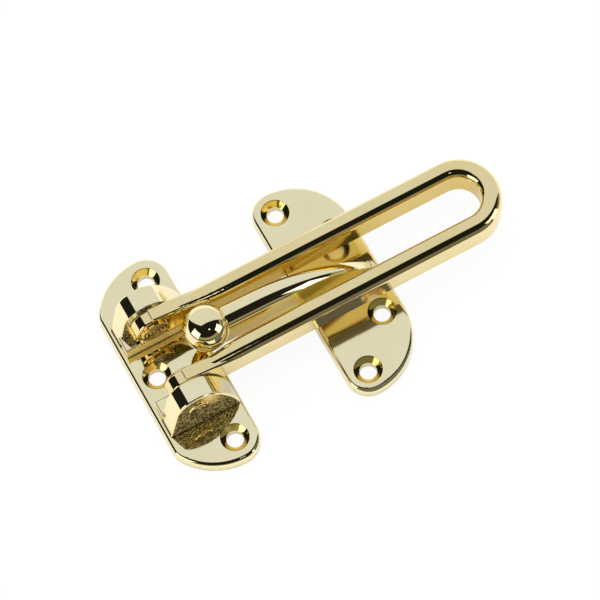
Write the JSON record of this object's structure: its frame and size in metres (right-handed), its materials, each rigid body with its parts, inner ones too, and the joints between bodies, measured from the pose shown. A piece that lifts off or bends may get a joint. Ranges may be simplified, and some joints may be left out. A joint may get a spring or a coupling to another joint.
{
  "type": "swing bar door guard",
  "caption": "Swing bar door guard: a U-shaped bar hinged between the knuckles of a frame plate loops over a ball on a door plate's arm and limits how far the door opens.",
  "frame": {"origin": "centre of the hinge plate's back, on the mounting plane", "axes": "+X from the hinge toward the loop end of the bar, +Y along both plates, +Z away from the door"},
  "size_m": [0.1133, 0.0668, 0.0251],
  "materials": {
    "polished_brass": "mirror polished and lacquered",
    "pin_brass": "turned and polished",
    "washer_steel": "stamped"
  },
  "bodies": {
    "plates": {"hinge_base": "polished_brass", "upper_hinge_pin": "pin_brass", "lower_hinge_pin": "pin_brass", "upper_friction_washer": "washer_steel", "lower_friction_washer": "washer_steel", "strike_plate": "polished_brass", "strike_ball": "polished_brass"},
    "bar": {"swing_bar": "polished_brass"}
  },
  "joints": [
    {"name": "bar_swing", "type": "hinge", "parent": "plates", "child": "bar", "pos_m": [-0.0009, 0, 0.0149], "axis": [0, -1, 0], "range_deg": [0, 180]}
  ]
}
